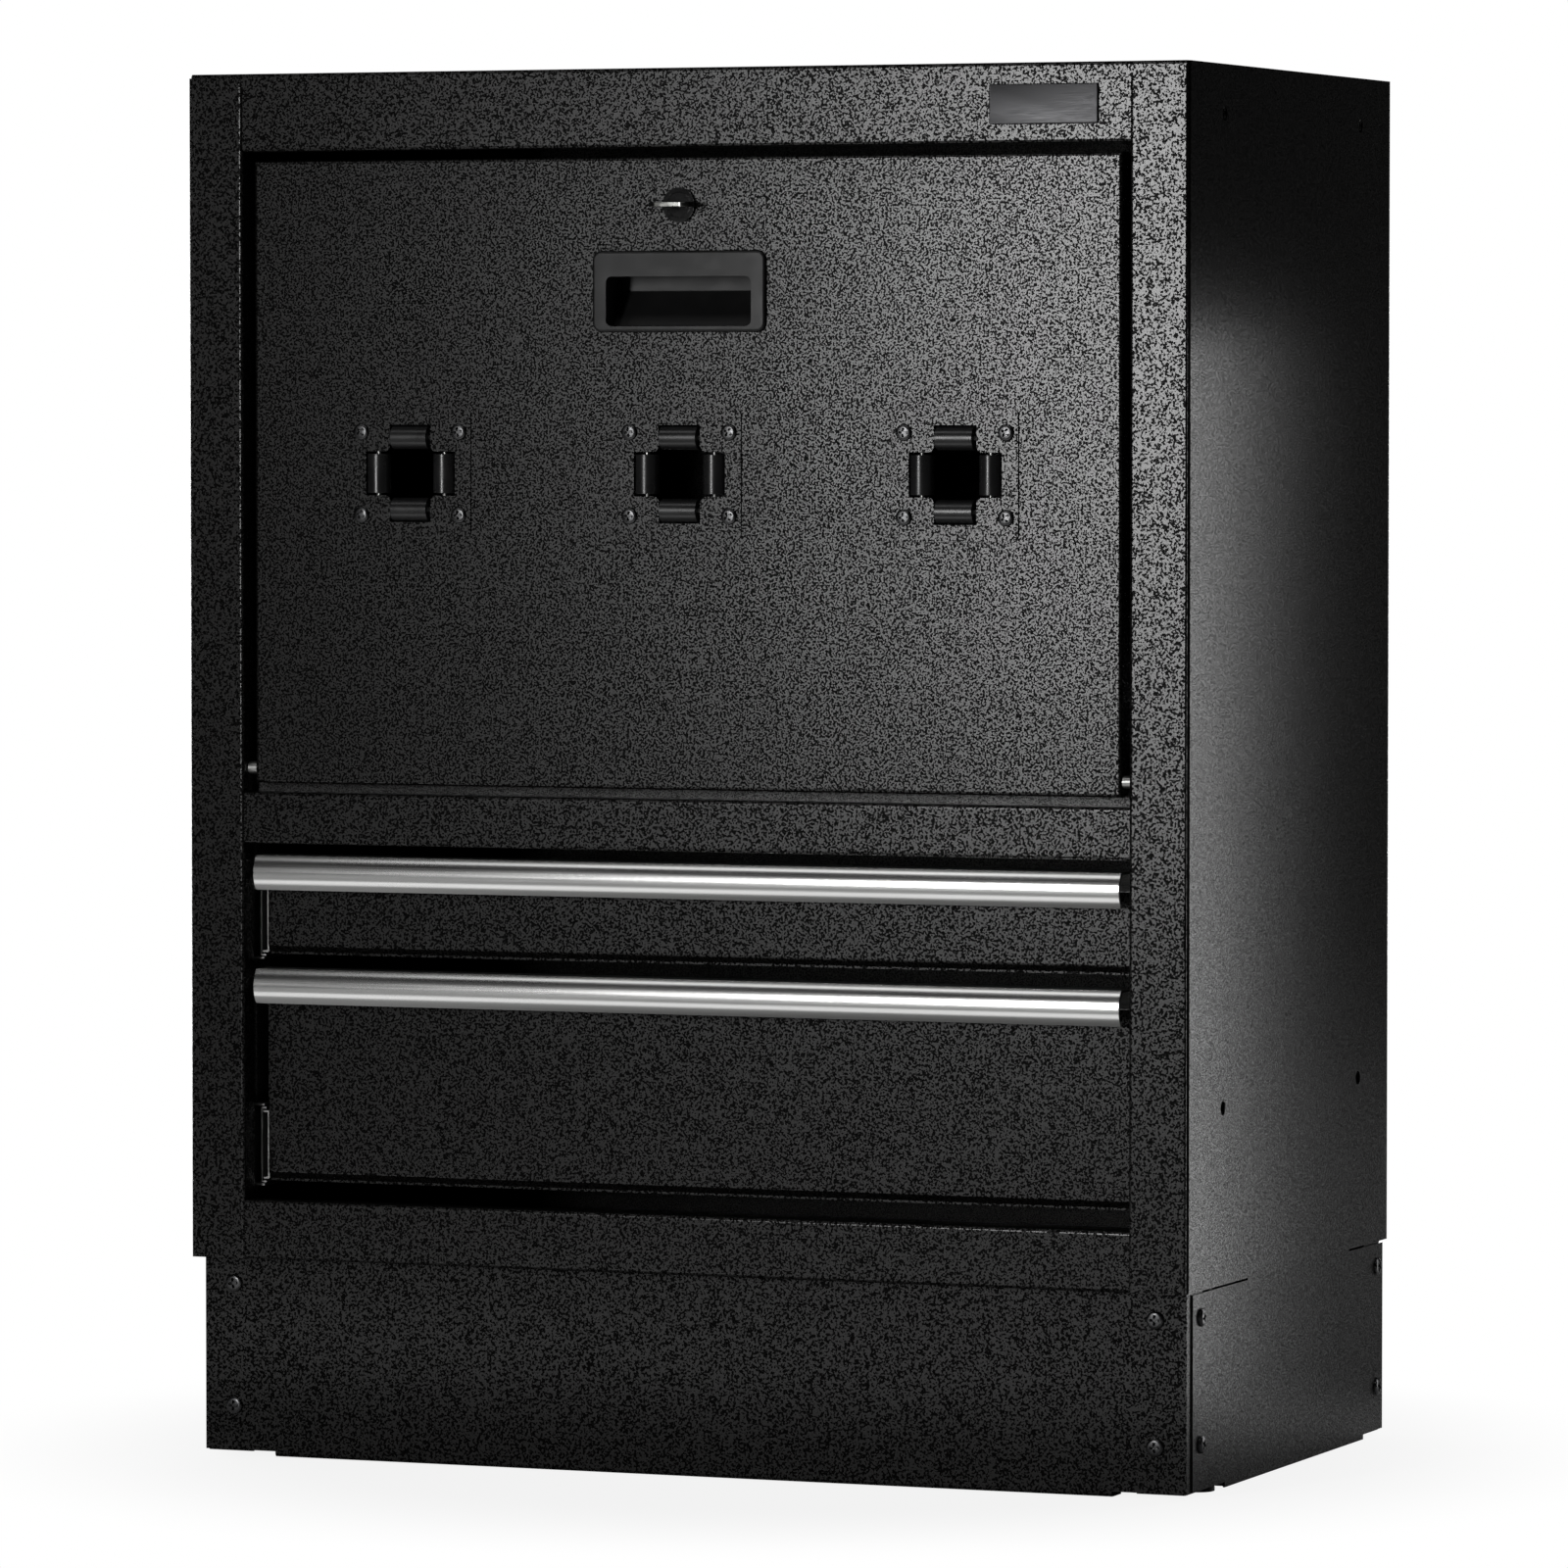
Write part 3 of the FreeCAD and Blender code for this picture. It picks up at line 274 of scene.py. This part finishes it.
def drawn_aluminium():
    """Satin anodised extrusion with fine die lines along its length."""
    finish = new_finish("drawn aluminium")
    lines = finish.noise(finish.place(stretch=(0.003, 1, 1)), size=0.0004)
    bands = finish.noise(finish.place(stretch=(0.01, 1, 1)), size=0.004, detail=1.0)
    return finish.shade(
        base_color=finish.blend(bands, shaded(ALUMINIUM, 0.93), ALUMINIUM),
        metallic=1.0,
        roughness=finish.remap(lines, *NOISE_SPREAD, 0.19, 0.25),
        normal=finish.bump(lines, strength=0.05, distance=0.00005),
    )


def plated_steel(name, colour, brightest, dullest):
    """Plated or blackened steel, a little cloudy, with fine scratches."""
    finish = new_finish(name)
    cloud = finish.noise(finish.place(), size=0.006, detail=4.0, rough=0.6)
    scratch = finish.noise(finish.place(stretch=(0.06, 1, 1)), size=0.0005)
    return finish.shade(
        base_color=finish.blend(cloud, shaded(colour, 0.78), colour),
        metallic=1.0,
        roughness=finish.remap(cloud, *CLOUD_SPREAD, brightest, dullest) + scratch * 0.05,
        normal=finish.bump(scratch, strength=0.08, distance=0.0001),
    )


def moulded_plastic(name, colour, grain, glossiest, dullest, relief, shine=0.5):
    """Moulded black plastic or rubber with a fine spark-eroded grain."""
    finish = new_finish(name)
    where = finish.place()
    texture = finish.noise(where, grain, detail=3.0, rough=0.6)
    wear = finish.noise(where, size=0.02, detail=4.0, rough=0.6)
    return finish.shade(
        base_color=finish.blend(wear, shaded(colour, 0.85), shaded(colour, 1.2)),
        roughness=finish.remap(wear, *NOISE_SPREAD, glossiest, dullest),
        specular_ior_level=shine,
        normal=finish.bump(texture, strength=relief, distance=0.0001),
    )


def brushed_plate():
    """The blank plate: dark, with fine brushing along its length."""
    finish = new_finish("brushed dark plate")
    lines = finish.noise(finish.place(stretch=(0.03, 1, 1)), size=0.0003)
    return finish.shade(
        base_color=finish.blend(lines, shaded(PLATE_GREY, 0.8), shaded(PLATE_GREY, 1.2)),
        metallic=0.7,
        roughness=finish.remap(lines, *NOISE_SPREAD, 0.3, 0.42),
        normal=finish.bump(lines, strength=0.1, distance=0.0001),
    )


# The lighter inside paint is painted light, standing in for light that the inside does not get
inside_painted_light_black = grained_paint("inside black paint with painted light", INSIDE_PAINTED_LIGHT_BLACK, FINE_GRAIN, depth=0.0001, rough=0.3)
finishes = {
    "textured_paint": grained_paint("textured black paint", BLACK, GRAIN, depth=0.0002, rough=0.25),
    "satin_paint": grained_paint("fine black paint", SIDE_BLACK, FINE_GRAIN, depth=0.0001, rough=0.24),
    "plate": brushed_plate(),
    "black_screws": plated_steel("blackened screw steel", SCREW_STEEL, brightest=0.22, dullest=0.32),
    "zinc_steel": plated_steel("bright zinc", ZINC, brightest=0.30, dullest=0.40),
    "lock_black": moulded_plastic("gloss black lock", LOCK_BLACK, grain=0.002, glossiest=0.08, dullest=0.13,
                                  relief=0.03),
    "key_steel": plated_steel("key steel", KEY_STEEL, brightest=0.16, dullest=0.26),
    "rubber": moulded_plastic("black rubber", RUBBER_BLACK, grain=0.0008, glossiest=0.62, dullest=0.76, relief=0.3),
    "black_plastic": moulded_plastic("matt black plastic", PLASTIC_BLACK, grain=0.0005, glossiest=0.40,
                                     dullest=0.48, relief=0.35, shine=0.4),
    "roller_plastic": moulded_plastic("roller plastic", ROLLER_BLACK, grain=0.001, glossiest=0.24, dullest=0.32,
                                      relief=0.06, shine=0.6),
    "aluminium": drawn_aluminium(),
}
for name, obj in nodes.items():
    for slot in obj.material_slots:
        # Pieces inside and behind get the lighter black, which is painted light
        slot.material = inside_painted_light_black if name in INSIDE_PIECES else finishes[slot_of[name]]


# Pieces finished from the CAD solids


def merged(name):
    """A CAD node's mesh with its loose triangles joined and its flat faces whole."""
    mesh = nodes[name].data.copy()
    shape = bmesh.new()
    shape.from_mesh(mesh)
    bmesh.ops.remove_doubles(shape, verts=shape.verts, dist=MERGE_DISTANCE)
    bmesh.ops.dissolve_limit(shape, angle_limit=FLAT_ANGLE, verts=shape.verts, edges=shape.edges)
    shape.to_mesh(mesh)
    shape.free()
    return mesh


def smooth_piece(name, body, edge):
    """A CAD node drawn again with round faces shaded smooth and its edges broken."""
    mesh = merged(name)
    mesh.shade_smooth()
    mesh.set_sharp_from_angle(angle=SHARP_ANGLE)
    piece = add_object("smooth_" + name, mesh)
    broken = piece.modifiers.new("broken edges", "BEVEL")
    broken.width = edge
    broken.segments = EDGE_STEPS
    broken.limit_method = "ANGLE"
    broken.angle_limit = SHARP_ANGLE
    broken.harden_normals = True
    piece.data.materials.clear()
    piece.data.materials.append(finishes[slot_of[name]])
    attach(piece, body)
    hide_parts(name)


soft_edges = dict(SOFT_EDGES)
for name in nodes:
    if name.startswith("roller_") and name != "roller_pins":
        soft_edges[name] = ROLLER_EDGE
    if name.startswith("foot_"):
        soft_edges[name] = FOOT_EDGE
for name, edge in sorted(soft_edges.items()):
    smooth_piece(name, body_of_node[name], edge)


# Screws


def loose_boxes(name):
    """The lowest and highest corners of each separate solid in a CAD node."""
    shape = bmesh.new()
    shape.from_mesh(nodes[name].data)
    bmesh.ops.remove_doubles(shape, verts=shape.verts, dist=MERGE_DISTANCE)
    boxes = []
    waiting = set(shape.verts)
    while waiting:
        start = waiting.pop()
        island = {start}
        shore = [start]
        while shore:
            for link in shore.pop().link_edges:
                for vert in link.verts:
                    if vert not in island:
                        island.add(vert)
                        shore.append(vert)
        waiting -= island
        points = [vert.co.copy() for vert in island]
        boxes.append((Vector(map(min, zip(*points))), Vector(map(max, zip(*points)))))
    shape.free()
    return sorted(boxes, key=lambda pair: tuple(pair[0]))


def lathe(profile, segments):
    """A closed mesh turned about Z from (radius, height) points."""
    shape = bmesh.new()
    turn = [2 * math.pi * step / segments for step in range(segments)]
    rings = []
    for radius, level in profile:
        around = turn if radius else [0]
        rings.append([shape.verts.new((radius * math.cos(a), radius * math.sin(a), level)) for a in around])
    for low, high in zip(rings, rings[1:]):
        for step in range(segments):
            after = (step + 1) % segments
            corners = [low[step % len(low)], low[after % len(low)], high[after % len(high)], high[step % len(high)]]
            shape.faces.new(list(dict.fromkeys(corners)))
    bmesh.ops.recalc_face_normals(shape, faces=shape.faces)
    mesh = bpy.data.meshes.new("lathe")
    shape.to_mesh(mesh)
    shape.free()
    return mesh


def finished_mesh(obj):
    """The mesh of an object with its modifiers worked in."""
    bpy.context.view_layer.update()
    return bpy.data.meshes.new_from_object(obj.evaluated_get(bpy.context.evaluated_depsgraph_get()))


def recess_cutter(quarter):
    """One bar of the cross recess, as a block that narrows as it goes down."""
    shape = bmesh.new()
    for vert in bmesh.ops.create_cube(shape, size=1)["verts"]:
        deep = vert.co.z < 0
        vert.co.x *= 2 * RECESS_REACH * (RECESS_END_TAPER if deep else 1)
        vert.co.y *= RECESS_WIDTH * (RECESS_SIDE_TAPER if deep else 1)
        vert.co.z = HEAD_RISE - RECESS_DEPTH if deep else HEAD_RISE + RECESS_OVERRUN
    bmesh.ops.rotate(shape, verts=shape.verts, matrix=Matrix.Rotation(quarter * math.pi / 2, 3, "Z"))
    mesh = bpy.data.meshes.new("recess")
    shape.to_mesh(mesh)
    shape.free()
    return add_object("recess", mesh)


def screw_head():
    """A truss head of unit radius on z = 0, with a cross recess."""
    dome = [(0, 0), (1, 0), (1, HEAD_RISE * RIM_SHARE)]
    for step in range(1, DOME_STEPS):
        lean = math.radians(90 / DOME_STEPS * step)
        rise = RIM_SHARE + (1 - RIM_SHARE) * math.sin(lean)
        dome.append((math.cos(lean) ** DOME_FLATNESS, HEAD_RISE * rise))
    dome.append((0, HEAD_RISE))
    head = add_object("screw head", lathe(dome, SCREW_SEGMENTS))
    for quarter in (0, 1):
        cutter = recess_cutter(quarter)
        cut = head.modifiers.new("recess", "BOOLEAN")
        cut.operation = "DIFFERENCE"
        cut.solver = "EXACT"
        cut.object = cutter
        finished = finished_mesh(head)
        head.modifiers.clear()
        head.data = finished
        bpy.data.objects.remove(cutter)
    head.data.shade_smooth()
    head.data.set_sharp_from_angle(angle=SHARP_ANGLE)
    return head


def screw_tree(head, material):
    """Geometry nodes that stand a screw head on every point, along the point's stored facing."""
    tree = bpy.data.node_groups.new("screws on points", "GeometryNodeTree")
    tree.interface.new_socket("Geometry", in_out="INPUT", socket_type="NodeSocketGeometry")
    tree.interface.new_socket("Head Radius", in_out="INPUT", socket_type="NodeSocketFloat")
    tree.interface.new_socket("Seed", in_out="INPUT", socket_type="NodeSocketInt")
    tree.interface.new_socket("Geometry", in_out="OUTPUT", socket_type="NodeSocketGeometry")

    def add(kind, settings=None, **values):
        made = tree.nodes.new(kind)
        for name, setting in (settings or {}).items():
            setattr(made, name, setting)
        for name, value in values.items():
            made.inputs[name.replace("_", " ")].default_value = value
        return made

    entry = add("NodeGroupInput")
    leave = add("NodeGroupOutput")
    source = add("GeometryNodeObjectInfo", Object=head)
    facing = add("GeometryNodeInputNamedAttribute", {"data_type": "FLOAT_VECTOR"}, Name="facing")
    aim = add("FunctionNodeAlignRotationToVector", {"axis": "Z"})
    spin = add("FunctionNodeRandomValue", {"data_type": "FLOAT"})
    spin.inputs[2].default_value = 0.0
    spin.inputs[3].default_value = math.pi / 2
    roll = add("FunctionNodeAxisAngleToRotation", Axis=(0, 0, 1))
    turn = add("FunctionNodeRotateRotation", {"rotation_space": "LOCAL"})
    points = add("GeometryNodeInstanceOnPoints")
    whole = add("GeometryNodeRealizeInstances")
    paint = add("GeometryNodeSetMaterial", Material=material)
    join = tree.links.new
    join(entry.outputs["Geometry"], points.inputs["Points"])
    join(entry.outputs["Head Radius"], points.inputs["Scale"])
    join(entry.outputs["Seed"], spin.inputs["Seed"])
    join(source.outputs["Geometry"], points.inputs["Instance"])
    join(facing.outputs["Attribute"], aim.inputs["Vector"])
    join(spin.outputs[1], roll.inputs["Angle"])
    join(aim.outputs["Rotation"], turn.inputs["Rotation"])
    join(roll.outputs["Rotation"], turn.inputs["Rotate By"])
    join(turn.outputs["Rotation"], points.inputs["Rotation"])
    join(points.outputs["Instances"], whole.inputs["Geometry"])
    join(whole.outputs["Geometry"], paint.inputs["Geometry"])
    join(paint.outputs["Geometry"], leave.inputs["Geometry"])
    return tree


def out_of_door(low, high):
    """The way a guide's screw points out: to the front."""
    return Vector((0, -1, 0))


def out_of_plinth(low, high):
    """The way a plinth screw points out: to the side on which its head stands proud."""
    sides = {
        (0, -1, 0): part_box("kick_front")[0].y - low.y,
        (0, 1, 0): high.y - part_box("kick_rear")[1].y,
        (1, 0, 0): high.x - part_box("kick_right")[1].x,
        (-1, 0, 0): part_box("kick_left")[0].x - low.x,
    }
    return Vector(max(sides, key=sides.get))


def screws(name, body, tree, facing_for):
    """All the screws of one CAD node as one mesh. Their heads are alike, so the last one gives the radius."""
    points = []
    facings = []
    for low, high in loose_boxes(name):
        facing = facing_for(low, high)
        half = (high - low) / 2
        points.append((low + high) / 2 + facing * (abs(facing.dot(half)) - HEAD_HEIGHT))
        facings.append(facing)
        radius = half.z
    mesh = bpy.data.meshes.new(name + "_points")
    mesh.from_pydata(points, [], [])
    stored = mesh.attributes.new("facing", "FLOAT_VECTOR", "POINT")
    for item, facing in zip(stored.data, facings):
        item.vector = facing
    holder = add_object(name + "_points", mesh)
    modifier = holder.modifiers.new("screws", "NODES")
    modifier.node_group = tree
    wanted = {"Head Radius": radius, "Seed": SCREW_SEED}
    for socket in tree.interface.items_tree:
        if socket.in_out == "INPUT" and socket.name in wanted:
            modifier[socket.identifier] = wanted[socket.name]
    made = finished_mesh(holder)
    bpy.data.objects.remove(holder)
    piece = add_object("detailed_" + name, made)
    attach(piece, body)
    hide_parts(name)


head = screw_head()
tree = screw_tree(head, finishes["black_screws"])
screws("guide_screws", "door", tree, out_of_door)
screws("kick_screws", "cabinet", tree, out_of_plinth)
bpy.data.objects.remove(head)


# Studio


def lamp(name, place, aim, width, tall, watts):
    data = bpy.data.lights.new(name, "AREA")
    data.shape = "RECTANGLE"
    data.size = width
    data.size_y = tall
    data.energy = watts
    obj = add_object(name, data)
    obj.location = place
    obj.rotation_euler = (Vector(aim) - Vector(place)).to_track_quat("-Z", "Y").to_euler()
    obj.visible_camera = False


def white_surround():
    """A surround that is white to the camera and dim to the cabinet, so that the lamps light it."""
    world = bpy.data.worlds.new("white surround")
    bpy.context.scene.world = world
    surround = Finish(world)
    seen = surround.node("ShaderNodeLightPath", {}, {}, "Is Camera Ray")
    where = surround.node("ShaderNodeTexCoord", {}, {}, "Generated")
    behind = surround.node("ShaderNodeSeparateXYZ", {}, {0: where}, "Y")
    dim = surround.node("ShaderNodeMapRange", {}, {"Value": behind, "From Min": 0.1, "From Max": 0.9,
                                                   "To Min": DIM_IN_FRONT, "To Max": DIM_BEHIND})
    strength = surround.node("ShaderNodeMix", {}, {"Factor": seen, "A": dim, "B": WHITE_STRENGTH}, "Result")
    light = surround.node("ShaderNodeBackground", {}, {"Color": WHITE, "Strength": strength})
    surround.node("ShaderNodeOutputWorld", {}, {0: light})


def studio_floor():
    """A pale floor that shows white but keeps the cabinet's shadow."""
    mesh = bpy.data.meshes.new("floor")
    corners = [(-FLOOR_REACH, -FLOOR_REACH, 0), (FLOOR_REACH, -FLOOR_REACH, 0),
               (FLOOR_REACH, FLOOR_REACH, 0), (-FLOOR_REACH, FLOOR_REACH, 0)]
    mesh.from_pydata(corners, [], [(0, 1, 2, 3)])
    floor = add_object("studio_floor", mesh)
    finish = new_finish("pale floor")
    seen = finish.node("ShaderNodeLightPath", {}, {}, "Is Camera Ray")
    where = finish.place(stretch=FLOOR_STRETCH)
    near = finish.node("ShaderNodeTexGradient", {"gradient_type": "SPHERICAL"}, {"Vector": where}, "Fac")
    white_share = finish.remap(near, *FLOOR_FADE, FLOOR_WHITE_FAR, FLOOR_WHITE_NEAR)
    lit = finish.node("ShaderNodeBsdfDiffuse", {}, {"Color": finish.blend(seen, FLOOR_LIT, FLOOR_SEEN)})
    white = finish.node("ShaderNodeEmission", {}, {"Color": WHITE, "Strength": WHITE_STRENGTH})
    surface = finish.node("ShaderNodeMixShader", {}, {0: seen * white_share, 1: lit, 2: white})
    finish.node("ShaderNodeOutputMaterial", {}, {"Surface": surface})
    mesh.materials.append(finish.owner)


def add_camera():
    data = bpy.data.cameras.new("camera")
    data.lens = CAMERA_LENS
    data.sensor_width = CAMERA_SENSOR
    data.clip_end = CAMERA_REACH
    camera = add_object("camera", data)
    low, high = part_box("stile_right")
    camera.location = (high.x + CAMERA_FROM_CORNER.x, low.y + CAMERA_FROM_CORNER.y, CAMERA_HEIGHT)
    camera.rotation_euler = (math.pi / 2 + CAMERA_TILT, 0, CAMERA_TURN)
    bpy.context.scene.camera = camera


for name, (place, aim, width, tall, watts) in LAMPS.items():
    lamp(name, place, aim, width, tall, watts)
white_surround()
studio_floor()
add_camera()
bpy.context.scene.view_settings.view_transform = "Standard"
